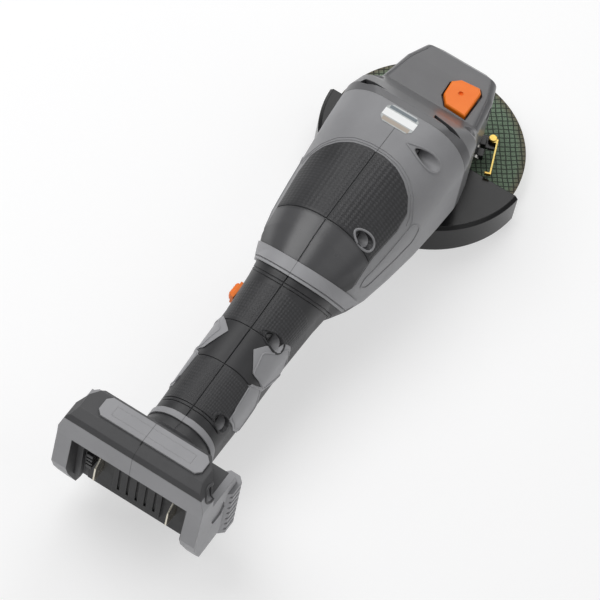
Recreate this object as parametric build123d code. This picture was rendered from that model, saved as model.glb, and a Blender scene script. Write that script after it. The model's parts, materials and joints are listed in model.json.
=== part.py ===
from build123d import *
import os
from functools import lru_cache
from math import cos, radians, sin, tan

# Cordless angle grinder, 125 mm disc. Millimetres. The model is drawn with the spindle on the Z axis and
# the disc's mid-plane at z = 0, the gear head at +X, then moved so that it stands on z = 0.

# ---- driving dimensions ----
DISC_D = 125.0
DISC_T = 1.6
DISC_BORE_D = 22.23
GUARD_R = 68.3
GUARD_WALL = 1.5
GUARD_TOP_Z = 9.0
GUARD_BOTTOM_Z = -13.7
GUARD_EDGE_X = -5.0
SPIGOT_R = 21.0
AXIS_Z = 47.0                 # height of the motor axis above the disc
HEAD_TOP_Z = 61.0
HEAD_BOTTOM_Z = 20.0
FLANGE_X = -48.0              # joint face between gear housing and motor shell
GEAR_TEETH = 37
PINION_TEETH = 11
GEAR_PITCH_R = 22.0
PINION_PITCH_R = GEAR_PITCH_R * PINION_TEETH / GEAR_TEETH
SHELL_WALL = 3.4
SKIN = 1.6                    # rubber overmould depth
COLLAR_X = -166.5             # front of the collar on the crest of the body
GRIP_FRONT_X = -178.0         # front of the grip on the crest of the body
COLLAR_CREST_Z = 72.5
COLLAR_SLANT = 0.55           # how far the collar runs forward for each mm it goes down
COLLAR_LOW_Z = 36.0
GRIP_REAR_X = -282.0
RING_REAR_X = -286.0
FOOT_FRONT_X = -300.0
NECK_END_X = -306.0
FOOT_HALF_W = 48.0
FOOT_TOP_Z = 95.0
FOOT_BOTTOM_Z = 8.0
BAY_HALF_W = 38.0
BAY_TOP_Z = 72.0
BAY_FRONT_X = -323.0
BLADE_HALF_GAP = 24.4         # half of the distance between the two battery blades
RUN_GAP = 0.4                 # clearance between parts on different bodies
DIMPLE_XY = (1.0, -12.6)
SLIDER_X = -185.0
SLIDER_Z = 41.5
SLIDER_TRAVEL = 6.0

# Body sections from the gear housing joint to the foot: x, half width, centre z, half height, and the
# roundness of the upper and lower corners
BODY = [
    (-48.0, 44.0, 50.0, 39.5, 0.70, 0.45),
    (-66.0, 43.2, 50.0, 39.5, 0.80, 0.45),
    (-90.0, 41.5, 48.0, 40.0, 0.90, 0.50),
    (-114.0, 38.8, 47.0, 38.5, 0.92, 0.55),
    (-136.0, 35.5, 46.5, 36.5, 0.92, 0.60),
    (-150.0, 32.3, 46.0, 33.0, 0.92, 0.70),
    (-160.0, 28.5, 45.3, 29.5, 0.90, 0.80),
    (-166.0, 25.5, 44.5, 27.8, 0.90, 0.90),
    (-178.0, 23.8, 42.0, 26.8, 0.88, 0.88),
    (-205.0, 22.0, 37.5, 26.0, 0.86, 0.86),
    (-240.0, 22.0, 33.5, 25.5, 0.86, 0.86),
    (-270.0, 21.2, 30.5, 24.5, 0.86, 0.86),
    (-286.0, 21.0, 29.5, 24.0, 0.86, 0.86),
    (-294.0, 22.5, 31.0, 25.0, 0.80, 0.80),
    (NECK_END_X, 33.0, 36.5, 31.0, 0.55, 0.55),
]
# Gear head sections, front to joint face
HEAD = [
    (29.5, 19.5, 38.5, 16.0, 0.30, 0.30),
    (25.0, 25.5, 40.0, 19.4, 0.30, 0.30),
    (11.0, 30.5, 40.5, 20.5, 0.26, 0.26),
    (-14.0, 34.5, 41.0, 21.0, 0.26, 0.26),
    (-30.0, 41.0, 47.5, 30.5, 0.34, 0.34),
    (-42.0, 43.5, 50.0, 38.0, 0.55, 0.42),
    (-48.0, 44.0, 50.0, 39.5, 0.70, 0.45),
]


def cyl_x(radius, x0, x1, y=0.0, z=0.0):
    """Cylinder along X from x0 to x1."""
    return Pos((x0 + x1) / 2, y, z) * Rot(0, 90, 0) * Cylinder(radius, abs(x1 - x0))


def cyl_y(radius, y0, y1, x=0.0, z=0.0):
    """Cylinder along Y from y0 to y1."""
    return Pos(x, (y0 + y1) / 2, z) * Rot(90, 0, 0) * Cylinder(radius, abs(y1 - y0))


def cyl_z(radius, z0, z1, x=0.0, y=0.0):
    """Cylinder along Z from z0 to z1."""
    return Pos(x, y, (z0 + z1) / 2) * Cylinder(radius, abs(z1 - z0))


def block(x0, x1, y0, y1, z0, z1):
    """Box between two corners."""
    return Pos((x0 + x1) / 2, (y0 + y1) / 2, (z0 + z1) / 2) * Box(abs(x1 - x0), abs(y1 - y0), abs(z1 - z0))


def section(x, half_w, zc, half_h, upper, lower, grow=0.0):
    """One body section in the plane X = x, its upper and lower corners rounded differently."""
    w = half_w + grow
    h = half_h + grow
    top_r = min(w, h) * upper
    low_r = min(w, h) * lower
    corners = [(w, h, top_r), (-w, h, top_r), (-w, -h, low_r), (w, -h, low_r)]
    edges = []
    for i, (y, z, r) in enumerate(corners):
        sy = 1 if y > 0 else -1
        sz = 1 if z > 0 else -1
        centre = Vector(x, y - sy * r, zc + z - sz * r)
        flank = centre + Vector(0, sy * r, 0)
        crest = centre + Vector(0, 0, sz * r)
        middle = centre + Vector(0, sy * r * cos(radians(45)), sz * r * sin(radians(45)))
        ends = (flank, crest) if i % 2 == 0 else (crest, flank)
        edges.append((ends[0], middle, ends[1]))
    outline = []
    for i, (start, middle, end) in enumerate(edges):
        outline.append(Edge.make_three_point_arc(start, middle, end))
        outline.append(Edge.make_line(end, edges[(i + 1) % 4][0]))
    return Face(Wire(outline))


@lru_cache(maxsize=None)
def body_loft(grow=0.0):
    """Solid through the body sections, each grown by the same amount."""
    return loft([section(*row, grow=grow) for row in BODY], ruled=True)


@lru_cache(maxsize=None)
def body_slice(grow, x0, x1):
    """The grown body between two planes across X."""
    return body_loft(grow) & block(x0, x1, -60, 60, 0, 110)


@lru_cache(maxsize=None)
def body_layer(outer, inner, x0, x1):
    """Layer between two grown bodies, between two planes across X."""
    return body_slice(outer, x0, x1) - body_slice(inner, x0, x1)


def behind(crest_x):
    """Everything behind a slanted plane that meets the crest of the body at crest_x."""
    top = crest_x - COLLAR_SLANT * (110 - COLLAR_CREST_Z)
    low = crest_x + COLLAR_SLANT * (COLLAR_CREST_Z - COLLAR_LOW_Z)
    return prism_y([(top, 110), (low, COLLAR_LOW_Z), (low, -10), (-400, -10), (-400, 110)], -70, 70)


def slanted(crest_x, width):
    """Slanted slab for a groove that runs like the collar."""
    return behind(crest_x) - behind(crest_x - width)


def prism_z(points, z0, z1):
    """Plan outline extruded from z0 to z1."""
    face = make_face(Polyline(*[(x, y, z0) for x, y in points], close=True))
    return extrude(face, amount=z1 - z0, dir=(0, 0, 1))


def prism_y(points, y0, y1):
    """Side outline (x, z) extruded from y0 to y1."""
    face = make_face(Polyline(*[(x, y0, z) for x, z in points], close=True))
    return extrude(face, amount=y1 - y0, dir=(0, 1, 0))


def side(shape, sign):
    """The half of a shape on one side of the middle plane."""
    return shape & block(-400, 100, 0, sign * 120, -60, 160)


def joined(shapes):
    """Group of separate solids in one node."""
    return Compound(children=[s for shape in shapes for s in shape.solids()])


# ---- gear head ----

CHAMBER_R = 23.8
CHAMBER_TOP_Z = 46.0
SHAFT_R = 4.0
SMALL_BEARING_R = 11.0
FRONT_BEARING_X = (-34.0, -41.0)
REAR_BEARING_X = (-120.0, -127.0)
TOP_BEARING_R = 8.0
TOP_BEARING_Z = (49.0, 54.0)
LOWER_BEARING_R = 16.0
LOWER_BEARING_Z = (9.2, 19.2)
SIDE_HOLE_X = 8.0
SIDE_HOLE_Z = 51.5
SIDE_HOLE_R = 3.4
SIDE_HOLE_DEPTH = 12.0
SIDE_HOLE_Y = 30.4
COVER_SCREWS = [(19.0, 18.0), (19.0, -18.0), (-24.0, 25.0), (-24.0, -25.0)]
HEAD_VENTS = [
    [(-38.0, 34.5), (-43.0, 35.5), (-43.5, 31.0), (-40.4, 18.5)],
    [(-34.8, -12.5), (-40.0, -13.8), (-43.5, -27.0), (-42.6, -34.5), (-39.0, -26.0)],
]
HEAD_SCREWS = [(33.0, 72.0), (-33.0, 72.0), (33.0, 25.0), (-33.0, 25.0)]


BUTTON_OUTLINE = [(11.7, -19.8), (10.4, -7.7), (6.0, -3.2), (-5.0, -4.1), (-11.0, -9.0), (-11.8, -23.1), (8.6, -22.4)]
BUTTON_GAP = 1.2


def button_prism(grow, z0, z1):
    """House-shaped prism of the lock button, the roof towards the front left."""
    face = make_face(Polyline(*[(x, y, z0) for x, y in BUTTON_OUTLINE], close=True))
    if grow > 0:
        face = offset(face, amount=grow, kind=Kind.INTERSECTION)
    return extrude(face, amount=z1 - z0, dir=(0, 0, 1))


def head_loft(grow=0.0):
    return loft([section(*row, grow=grow) for row in HEAD], ruled=True)


def make_gear_housing():
    body = head_loft()
    body -= cyl_z(CHAMBER_R, 10, CHAMBER_TOP_Z)
    body -= cyl_z(6.0, 40, TOP_BEARING_Z[0])
    body -= cyl_z(TOP_BEARING_R, *TOP_BEARING_Z)
    body -= cyl_x(9.2, -8, -32, 0, AXIS_Z)
    body -= cyl_x(6.0, -30, FRONT_BEARING_X[0], 0, AXIS_Z)
    body -= cyl_x(SMALL_BEARING_R, FRONT_BEARING_X[0], FRONT_BEARING_X[1], 0, AXIS_Z)
    body -= cyl_x(33.0, FRONT_BEARING_X[1], FLANGE_X - 1, 0, AXIS_Z)
    body -= button_prism(BUTTON_GAP, HEAD_TOP_Z - 4.5, HEAD_TOP_Z + 5)
    x, y = DIMPLE_XY
    body -= cyl_z(2.4 + RUN_GAP, CHAMBER_TOP_Z - 1, HEAD_TOP_Z, x, y)
    for sign in (1, -1):
        mouth = sign * SIDE_HOLE_Y
        body -= cyl_y(5.4, mouth, mouth + sign * 8, SIDE_HOLE_X, SIDE_HOLE_Z)
        body -= cyl_y(SIDE_HOLE_R, mouth - sign * SIDE_HOLE_DEPTH, mouth + sign, SIDE_HOLE_X, SIDE_HOLE_Z)
    for y, z in HEAD_SCREWS:
        body -= cyl_x(4.4, 0, -42.0, y, z)
        body -= cyl_x(2.1, -40, -49, y, z)
    for vent in HEAD_VENTS:
        body -= prism_z(vent, 70.0, 92.0)
    for x, y in COVER_SCREWS:
        body -= cyl_z(1.7, HEAD_BOTTOM_Z - 1, HEAD_BOTTOM_Z + 14, x, y)
    return body - block(-60, 40, -60, 60, -10, HEAD_BOTTOM_Z) + lower_flange()


def lower_flange():
    """The part of the head that reaches below the bearing box, behind it."""
    low = head_loft() & block(FLANGE_X, -33.0, -60, 60, 0, HEAD_BOTTOM_Z)
    low -= cyl_x(33.0, FRONT_BEARING_X[1], FLANGE_X - 1, 0, AXIS_Z)
    return low


def make_bearing_box():
    plan = [(23, 14), (20, 22), (8, 29), (-14, 32.5), (-31, 34)]
    outline = plan + [(x, -y) for x, y in reversed(plan)]
    box = prism_z(outline, 14.0, HEAD_BOTTOM_Z)
    box += cyl_z(SPIGOT_R, 5.0, 14.0)
    box -= cyl_z(LOWER_BEARING_R, LOWER_BEARING_Z[0], 21)
    box -= cyl_z(18.0, LOWER_BEARING_Z[1], 21)
    box -= cyl_z(10.0, 0, LOWER_BEARING_Z[0])
    for x, y in COVER_SCREWS:
        box -= cyl_z(1.7, 10, 21, x, y)
        box -= cyl_z(3.2, 10, 16.6, x, y)
    return box


def make_bearing_box_screws():
    screws = []
    for x, y in COVER_SCREWS:
        screw = cyl_z(3.0, 14.2, 16.6, x, y) + cyl_z(1.7, 16.6, 32, x, y)
        screws.append(screw - cyl_z(1.4, 14, 15.6, x, y))
    return joined(screws)


def make_head_screws():
    screws = []
    for y, z in HEAD_SCREWS:
        screw = cyl_x(4.0, -38.5, -42.0, y, z) + cyl_x(2.1, -42.0, -56, y, z)
        screws.append(screw - cyl_x(1.9, -38, -40.4, y, z))
    return joined(screws)


def ring_z(outer, inner, z0, z1):
    return cyl_z(outer, z0, z1) - cyl_z(inner, z0 - 1, z1 + 1)


def ring_x(outer, inner, x0, x1, z=AXIS_Z):
    return cyl_x(outer, x0, x1, 0, z) - cyl_x(inner, x0 + 1, x1 - 1, 0, z)


def make_bearing_retainer():
    return ring_z(18.0, 13.0, LOWER_BEARING_Z[1], 20.8)


def make_name_label():
    """Blank sticker on the crown of the head, laid on the joint area."""
    plate = prism_z([(-49, -7), (-49, 9), (-52, 12), (-60, 12), (-63, 9), (-63, -7), (-60, -10), (-52, -10)], 60, 120)
    return body_layer(0.25, 0.0, -48.5, -67.0) & plate


# ---- spindle ----

GEAR_FACE = 6.8
TOOTH_W = 0.95
TOOTH_UP = 0.8
TOOTH_DOWN = 1.3
ROOT = 0.95
CONE_DEG = 16.56              # slope of the big gear's pitch cone, atan(11 / 37)
APEX_CLEAR_R = GEAR_PITCH_R - GEAR_FACE


def cone_point(radius, offset):
    """Point (r, z) on the big gear's pitch cone, moved along its normal by offset."""
    slope = radians(CONE_DEG)
    along = AXIS_Z - radius * tan(slope)
    return (radius + offset * sin(slope), along + offset * cos(slope))


def make_spindle():
    shaft = cyl_z(6.8, -12.0, 4.2) + cyl_z(8.0, 4.2, LOWER_BEARING_Z[0]) + cyl_z(6.0, LOWER_BEARING_Z[0], 42.0)
    shaft += cyl_z(SHAFT_R, 42.0, TOP_BEARING_Z[1] - 0.4)
    return chamfer(shaft.faces().sort_by(Axis.Z)[0].edges(), 1.0)


def make_bevel_gear():
    inner = cone_point(APEX_CLEAR_R, -ROOT)
    outer = cone_point(GEAR_PITCH_R, -ROOT)
    profile = [(6.0, 22.0), (10.0, 22.0), (10.0, 30.0), (outer[0] - 1.5, 33.0), outer, inner, (10.0, 41.6), (6.0, 41.6)]
    wheel = revolve(make_face(Polyline(*[(r, 0, z) for r, z in profile], close=True)), Axis.Z)
    mid = cone_point(GEAR_PITCH_R - GEAR_FACE / 2, (TOOTH_UP - TOOTH_DOWN) / 2)
    tooth = Pos(mid[0], 0, mid[1]) * Rot(0, CONE_DEG, 0) * Box(GEAR_FACE, TOOTH_W, TOOTH_UP + TOOTH_DOWN)
    teeth = [Rot(0, 0, 360 / GEAR_TEETH * i) * tooth for i in range(GEAR_TEETH)]
    return wheel + teeth


def make_inner_flange():
    flange = cyl_z(20.0, DISC_T / 2, 4.2) + cyl_z(DISC_BORE_D / 2, -DISC_T / 2, DISC_T / 2)
    flange -= cyl_z(6.8, -3, 5)
    return flange - (cyl_z(16.0, DISC_T / 2 - 0.1, DISC_T / 2 + 0.6) - cyl_z(DISC_BORE_D / 2, -1, 2))


def make_cutting_disc():
    return ring_z(DISC_D / 2, DISC_BORE_D / 2, -DISC_T / 2, DISC_T / 2)


def make_flange_nut():
    nut = cyl_z(20.5, -4.6, -DISC_T / 2) + cyl_z(12.0, -8.0, -4.6)
    nut -= cyl_z(6.8, -9, 0)
    for i in range(4):
        nut -= Rot(0, 0, 45 + 90 * i) * cyl_z(2.6, -6, -DISC_T / 2 - 1.0, 17.0, 0)
    return nut


def make_spindle_bearings():
    lower = ring_z(LOWER_BEARING_R, 6.03, *LOWER_BEARING_Z)
    return joined([lower, ring_z(TOP_BEARING_R, SHAFT_R + 0.03, *TOP_BEARING_Z)])


# ---- rotor, coupled to the spindle ----

STATOR_X = (-68.0, -106.0)
ROTOR_R = 13.8
STATOR_BORE_R = 14.4
STATOR_R = 27.0
FAN_X = (-52.5, -61.0)
FAN_R = 31.5
FAN_BLADES = 11


def make_rotor_shaft():
    shaft = cyl_x(SHAFT_R, -29.0, REAR_BEARING_X[1] - 0.5, 0, AXIS_Z)
    return shaft + cyl_x(2.4, -13.0, -29.0, 0, AXIS_Z)


def make_pinion():
    slope = radians(CONE_DEG)
    small = APEX_CLEAR_R * tan(slope) - ROOT * cos(slope)
    large = GEAR_PITCH_R * tan(slope) - ROOT * cos(slope)
    x_small = -(APEX_CLEAR_R + ROOT * sin(slope))
    x_large = -(GEAR_PITCH_R + ROOT * sin(slope))
    profile = [(x_small, 2.4), (x_small, small), (x_large, large), (-28.5, large), (-28.5, 2.4)]
    face = make_face(Polyline(*[(x, 0, AXIS_Z + r) for x, r in profile], close=True))
    axis = Axis((0, 0, AXIS_Z), (1, 0, 0))
    core = revolve(face, axis)
    mid_r = (GEAR_PITCH_R - GEAR_FACE / 2) * tan(slope) + (TOOTH_UP - TOOTH_DOWN) / 2 * cos(slope)
    mid_x = -(GEAR_PITCH_R - GEAR_FACE / 2) + (TOOTH_UP - TOOTH_DOWN) / 2 * sin(slope)
    tooth = Pos(mid_x, 0, mid_r) * Rot(0, CONE_DEG, 0) * Box(GEAR_FACE, TOOTH_W, TOOTH_UP + TOOTH_DOWN)
    half_step = 180 / PINION_TEETH
    teeth = [Pos(0, 0, AXIS_Z) * Rot(half_step + 2 * half_step * i, 0, 0) * tooth for i in range(PINION_TEETH)]
    return core + teeth


def make_cooling_fan():
    fan = cyl_x(FAN_R, FAN_X[0], FAN_X[0] - 1.6, 0, AXIS_Z) + cyl_x(9.0, FAN_X[0], FAN_X[1], 0, AXIS_Z)
    blade = Pos((FAN_X[0] + FAN_X[1]) / 2 - 0.5, 0, 20.0) * Rot(0, 0, 12) * Box(7.4, 1.4, 22.6)
    fan += [Pos(0, 0, AXIS_Z) * Rot(360 / FAN_BLADES * i, 0, 0) * blade for i in range(FAN_BLADES)]
    return fan - cyl_x(SHAFT_R, FAN_X[0] + 2, FAN_X[1] - 2, 0, AXIS_Z)


def make_rotor_core():
    return ring_x(12.0, SHAFT_R, STATOR_X[0] - 1, STATOR_X[1] + 1)


def make_rotor_magnets():
    sleeve = ring_x(ROTOR_R, 12.0, STATOR_X[0] - 1, STATOR_X[1] + 1)
    for i in range(4):
        sleeve -= Pos(-87, 0, AXIS_Z) * Rot(45 * i + 22.5, 0, 0) * Box(40, 0.8, 40)
    return joined([sleeve])


# ---- motor, fixed ----


def make_stator_core():
    core = ring_x(STATOR_R, STATOR_BORE_R, *STATOR_X)
    for i in range(6):
        slot = Pos(-87, 0, AXIS_Z) * Rot(60 * i, 0, 0) * Pos(0, 0, 19.5) * Box(40, 6.0, 8.0)
        core -= slot
    return core


def make_stator_windings():
    coils = []
    for i in range(6):
        for x0, x1 in ((-63.6, STATOR_X[0]), (STATOR_X[1], -110.4)):
            coil = Pos((x0 + x1) / 2, 0, 20.5) * Box(abs(x1 - x0), 11.0, 7.5)
            coils.append(Pos(0, 0, AXIS_Z) * Rot(60 * i + 30, 0, 0) * fillet(coil.edges(), 1.6))
    return joined(coils)


def make_motor_bearings():
    front = ring_x(SMALL_BEARING_R, SHAFT_R + 0.03, *FRONT_BEARING_X)
    rear = ring_x(SMALL_BEARING_R, SHAFT_R + 0.03, *REAR_BEARING_X)
    return joined([front, rear])


def make_sensor_board():
    return ring_x(20.0, 7.0, -113.0, -114.4)


def make_fan_baffle():
    plate = body_slice(-SHELL_WALL, -61.8, -63.2)
    x, y, z = SCREW_PLACES[0]
    return plate - cyl_x(24.0, -61, -64, 0, AXIS_Z) - cyl_y(6.2, -50, 50, x, z)


# ---- shells of motor housing and grip ----

SCREW_PLACES = [(-67.5, -17.0, 84.4), (-132.8, -17.0, 76.0), (-212.0, -9.0, 57.4), (-270.0, -11.0, 47.5)]
SCREW_HEAD_R = 3.6
SCREW_R = 1.75
WELL_R = 4.3
RIB_X = [(-72.0, -75.0), (-99.0, -102.0)]
RAISED = 0.9


@lru_cache(maxsize=None)
def pad_prism():
    """Plan of the rubber pad on top of the motor housing, as a tall prism."""
    half = [(-84.0, 5.0), (-86.0, 15.0), (-89.2, 23.0), (-93.5, 29.5), (-99.5, 33.6), (-111.0, 34.2), (-133.0, 32.0)]
    half.append((-190.0, 30.0))
    return prism_z(half + [(x, -y) for x, y in reversed(half)], 56.0, 110.0)


PAD_START_X = -83.0
PAD_GROOVE_X = -138.0
SEAM_HALF = 0.35


def seam(x0, x1):
    """Narrow upright slot along the middle plane, above the body's core."""
    return block(x0, x1, -SEAM_HALF, SEAM_HALF, 110.0, 40.0)


def pad_space():
    return (body_layer(RAISED, -SKIN, PAD_START_X, -190.0) & pad_prism()) - behind(COLLAR_X)


def make_motor_pad():
    pad = pad_space() - (seam(PAD_START_X, -190.0) - body_slice(0.2, -78.0, -190.0))
    groove = block(PAD_GROOVE_X - 0.4, PAD_GROOVE_X + 0.4, -60, 60, 50, 110)
    pad -= groove - body_slice(0.2, -130.0, -150.0)
    return pad - screw_wells()


def make_collar_ring():
    band = (body_layer(1.4, -SKIN, -135.0, -190.0) & behind(COLLAR_X)) - behind(GRIP_FRONT_X)
    band -= block(-400, 0, -60, 60, -10, COLLAR_LOW_Z)
    return band - (slanted(GRIP_FRONT_X + 2.6, 0.9) - body_slice(0.4, -130.0, -190.0))


def make_rear_ring():
    return body_layer(RAISED, -SKIN, GRIP_REAR_X, RING_REAR_X)


# Inserts in the grip: plan outline for the right side, then side outline (x, z)
PLATE_PLAN = [(-225.2, -8.6), (-204.0, -22.0), (-202.0, -60.0), (-245.0, -60.0), (-238.0, -17.0)]
PLATE_SIDE = [(-203.0, 90.0), (-203.0, 48.0), (-209.0, 31.0), (-214.0, 26.0), (-234.0, 39.0), (-240.0, 90.0)]
WEDGE_PLAN = [(-213.0, 19.0), (-223.0, 10.0), (-237.0, 17.0), (-240.0, 60.0), (-210.0, 60.0)]
WEDGE_SIDE = [(-213.0, 90.0), (-213.0, 34.0), (-238.0, 37.0), (-238.0, 90.0)]
STRIP_SIDE = [(-240.0, 51.5), (-234.0, 44.0), (-236.0, 27.0), (-254.0, 19.0), (-262.0, 33.0), (-265.0, 46.0)]
GRIP_GROOVES = [(-214.6, 0.7), (-241.8, 0.8), (-273.4, 0.7), (-275.6, 0.6)]
FRONT_GROOVES = [(-183.0, 0.7), (-185.4, 0.6)]


def strip_prism(sign):
    """Side outline of the strip, carried outwards from the middle plane on one side."""
    return prism_y(STRIP_SIDE, min(0.0, sign * 60.0), max(0.0, sign * 60.0))


def plate_prism(sign):
    """Room of the right plate or the left wedge, bounded in plan and in side view."""
    plan, outline = (PLATE_PLAN, PLATE_SIDE) if sign < 0 else (WEDGE_PLAN, WEDGE_SIDE)
    whole = prism_z(plan, 0.0, 100.0) & prism_y(outline, -60.0, 60.0)
    return whole - strip_prism(sign)


def make_side_inserts(sign):
    skin = body_layer(0.5, -SKIN, -190.0, -275.0)
    strip = skin & strip_prism(sign)
    plate = skin & plate_prism(sign)
    return (plate - screw_wells() if sign < 0 else plate), strip


def slider_slot():
    half = 4.2
    return block(SLIDER_X - 9.0, SLIDER_X + SLIDER_TRAVEL + 5.0, 8, 60, SLIDER_Z - half, SLIDER_Z + half)


def screw_wells():
    return Compound(children=[cyl_y(WELL_R, y - 30, y, x, z) for x, y, z in SCREW_PLACES])


def grip_space():
    """Room for the rubber of the grip, from the collar back to the ring."""
    skin = body_layer(0.0, -SKIN, -135.0, GRIP_REAR_X)
    below = (skin & behind(COLLAR_X)) & block(-400, 0, -60, 60, -10, COLLAR_LOW_Z)
    return (skin & behind(GRIP_FRONT_X)) + below


def grip_groove(x, width):
    """Groove across the upper half of the grip."""
    return block(x, x - width, -60, 60, 45.0, 100) - body_slice(-0.7, x + 2, x - 2)


def make_grip_half(sign):
    grip = side(grip_space(), sign)
    grip = grip - plate_prism(sign) - strip_prism(sign)
    for x, width in GRIP_GROOVES:
        grip -= grip_groove(x, width)
    for x, width in FRONT_GROOVES:
        grip -= slanted(x, width) - body_slice(-0.7, -150.0, -200.0)
    grip -= seam(-170.0, GRIP_REAR_X) - body_slice(-0.7, -165.0, GRIP_REAR_X - 1)
    return grip - slider_slot() if sign > 0 else grip - screw_wells()


@lru_cache(maxsize=None)
def whole_shell():
    """Both shell halves in one, hollow, with the motor's ribs."""
    shell = (body_layer(0.0, -SHELL_WALL, FLANGE_X, -190.0) - behind(COLLAR_X)) - pad_space()
    shell += body_layer(-SKIN, -SHELL_WALL, -135.0, RING_REAR_X) & behind(COLLAR_X)
    shell += body_layer(0.0, -SHELL_WALL, RING_REAR_X, NECK_END_X) - foot_block()
    for x0, x1 in RIB_X:
        shell += body_slice(-SHELL_WALL + 0.2, x0, x1) - cyl_x(STATOR_R, x0 + 1, x1 - 1, 0, AXIS_Z)
    x0, x1 = REAR_BEARING_X
    return shell + (body_slice(-SHELL_WALL + 0.2, x0, x1) - cyl_x(SMALL_BEARING_R, x0 + 1, x1 - 1, 0, AXIS_Z))


def make_shell_half(sign):
    shell = side(whole_shell(), sign)
    for x, y, z in SCREW_PLACES:
        if sign < 0:
            shell += cyl_y(6.0, y - 20, -3.0, x, z) & body_slice(-SKIN - 0.2, x - 8, x + 8)
            shell = shell - cyl_y(WELL_R, y - 30, y, x, z) - cyl_y(SCREW_R, y - 1, 1, x, z)
        else:
            shell += cyl_y(4.6, 0.0, 40.0, x, z) & body_slice(-SKIN - 0.2, x - 8, x + 8)
            shell -= cyl_y(SCREW_R, -1, 9.0, x, z)
    return shell - slider_slot() if sign > 0 else shell


def cross_screw(x, y, z, y_end):
    """Pan-head screw along +Y with a recessed drive, its head's seat at y."""
    screw = cyl_y(SCREW_HEAD_R, y - 2.4, y, x, z) + cyl_y(SCREW_R, y, y_end, x, z)
    return screw - cyl_y(1.6, y - 3, y - 1.0, x, z)


def make_shell_screws():
    return joined([cross_screw(x, y, z, 9.0) for x, y, z in SCREW_PLACES])


# ---- lock button, slider switch and electrics ----


def make_lock_button():
    cap = button_prism(0.0, HEAD_TOP_Z - 1.0, HEAD_TOP_Z + 3.0)
    top = cap.faces().sort_by(Axis.Z)[-1]
    cap = chamfer(top.edges(), 0.7)
    x, y = DIMPLE_XY
    return cap - cyl_z(1.6, HEAD_TOP_Z + 1.5, HEAD_TOP_Z + 4, x, y)


def make_lock_pin():
    x, y = DIMPLE_XY
    return cyl_z(2.4, 49.0, HEAD_TOP_Z - 1.0, x, y)


def make_lock_spring():
    x, y = DIMPLE_XY
    coil = ring_z(4.6, 3.2, HEAD_TOP_Z - 4.5, HEAD_TOP_Z - 1.0)
    return Pos(x, y, 0) * coil


def make_slider_button():
    x = SLIDER_X
    z = SLIDER_Z
    base = block(x - 8.0, x + 4.0, 23.9, 26.0, z - 3.6, z + 3.6)
    crown = block(x - 6.5, x + 2.5, 26.0, 28.2, z - 2.8, z + 2.8)
    crown = chamfer(crown.faces().sort_by(Axis.Y)[-1].edges(), 1.0)
    for i in range(3):
        cx = x - 4.4 + 2.4 * i
        crown -= block(cx - 0.4, cx + 0.4, 27.6, 30, z - 7, z + 7)
    tongue = block(x - 5.0, x + 1.0, 14.0, 23.9, z - 2.0, z + 2.0)
    return base + crown + tongue


def make_switch_body():
    box = block(-206.0, -170.0, -9.0, 9.0, SLIDER_Z - 13.0, SLIDER_Z + 7.0)
    return box - block(SLIDER_X - 7, SLIDER_X + 10, 2.0, 20, SLIDER_Z - 4.0, SLIDER_Z + 4.0)


def make_controller():
    box = block(-262.0, -220.0, -12.0, 12.0, 19.0, 41.0)
    fins = [block(-224.0 - 4.0 * i, -222.0 - 4.0 * i, -12.0, 12.0, 39.0, 42.0) for i in range(9)]
    return box - fins


# ---- battery foot ----

FOOT_PROFILE = [
    (FOOT_FRONT_X, 14.0),
    (FOOT_FRONT_X, 48.0),
    (-305.0, 65.0),
    (-316.0, 93.0),
    (-318.5, FOOT_TOP_Z),
    (-334.0, FOOT_TOP_Z),
    (-340.0, 92.5),
    (-342.0, 89.0),
    (-342.5, 72.0),
    (-345.0, 44.0),
    (-341.5, 33.0),
    (-331.0, 10.5),
    (-326.0, FOOT_BOTTOM_Z),
    (-306.0, FOOT_BOTTOM_Z),
]
PANEL_Z = 89.0
CHEEK_IN = 43.5
FRAME_FRONT_X = -328.0
FOOT_SCREW = (-332.5, -38.0, 86.0)
STRIP_X = (-319.0, -332.5)
STRIP_Y = (-37.0, 31.0)


@lru_cache(maxsize=None)
def foot_block():
    solid = prism_y(FOOT_PROFILE, -FOOT_HALF_W, FOOT_HALF_W)
    for sign in (1, -1):
        corner = [(sign * 37.0, 100.0), (sign * 60.0, 100.0), (sign * 60.0, 76.0), (sign * FOOT_HALF_W, 79.0),
                  (sign * 45.0, 90.0), (sign * 41.0, 94.5)]
        face = make_face(Polyline(*[(-280, y, z) for y, z in corner], close=True))
        solid -= extrude(face, amount=80, dir=(-1, 0, 0))
        low = [(sign * 40.0, 0.0), (sign * 60.0, 0.0), (sign * 60.0, 22.0), (sign * FOOT_HALF_W, 20.0)]
        face = make_face(Polyline(*[(-280, y, z) for y, z in low], close=True))
        solid -= extrude(face, amount=80, dir=(-1, 0, 0))
        solid -= prism_z([(-290, sign * 26.0), (-308, sign * 30.0), (-321, sign * 38.3), (-331, sign * 45.5),
                          (-331, sign * 60.0), (-290, sign * 60.0)], 70.5, 120.0)
    return solid


def bay_space():
    return block(-360, BAY_FRONT_X, -BAY_HALF_W, BAY_HALF_W, -10, BAY_TOP_Z)


def cheek_zone(sign):
    return block(FOOT_FRONT_X + 1, FRAME_FRONT_X, sign * CHEEK_IN, sign * 60, 0, PANEL_Z - 8)


def thumb_zone(sign):
    return block(-299.0, -314.4, sign * 38.0, sign * 53.0, 15.0, 60.4)


def make_foot_frame():
    frame = foot_block() & block(FRAME_FRONT_X, -360, -60, 60, 0, PANEL_Z + 4)
    frame = frame - bay_space() - panel_solid() - screw_well()
    x, y, z = FOOT_SCREW
    return frame - cyl_y(SCREW_R, y - 1, -10.0, x, z)


def panel_solid():
    """Dark cover on top of the foot, down to PANEL_Z."""
    return foot_block() & block(FOOT_FRONT_X, -341.9, -46.0, 46.0, PANEL_Z, 120)


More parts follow.
